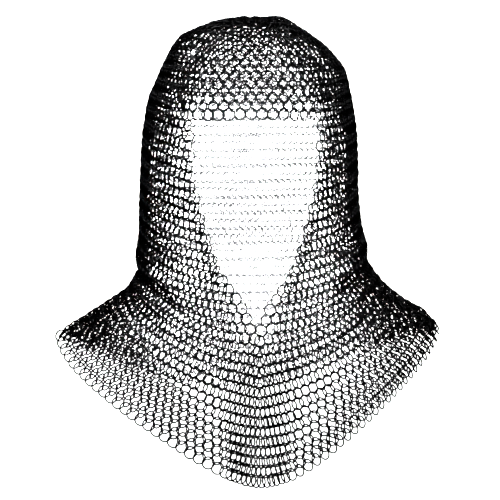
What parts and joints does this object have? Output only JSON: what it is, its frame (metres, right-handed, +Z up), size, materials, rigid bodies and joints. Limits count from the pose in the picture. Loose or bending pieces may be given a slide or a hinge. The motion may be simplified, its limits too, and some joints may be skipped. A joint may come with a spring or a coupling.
{
  "type": "chainmail coif",
  "caption": "Mail hood of linked steel rings with a V-shaped face opening and a pointed mantle over the shoulders, in the hollow form it has when worn.",
  "frame": {"origin": "inside of the crown, at its top, where the wearer's head carries the coif", "axes": "+Z up, the face opening looks towards -Y, the viewer's right is +X"},
  "size_m": [0.3734, 0.2756, 0.4397],
  "materials": {
    "mail": "blackened steel wire, glossy on the rounds and worn brighter where rings rub"
  },
  "bodies": {
    "root": {"crown": "mail", "brow_band": "mail", "left_cheek": "mail", "right_cheek": "mail", "nape": "mail", "mantle_front_left": "mail", "mantle_front_right": "mail", "mantle_back_right": "mail", "mantle_back_left": "mail"}
  },
  "joints": []
}
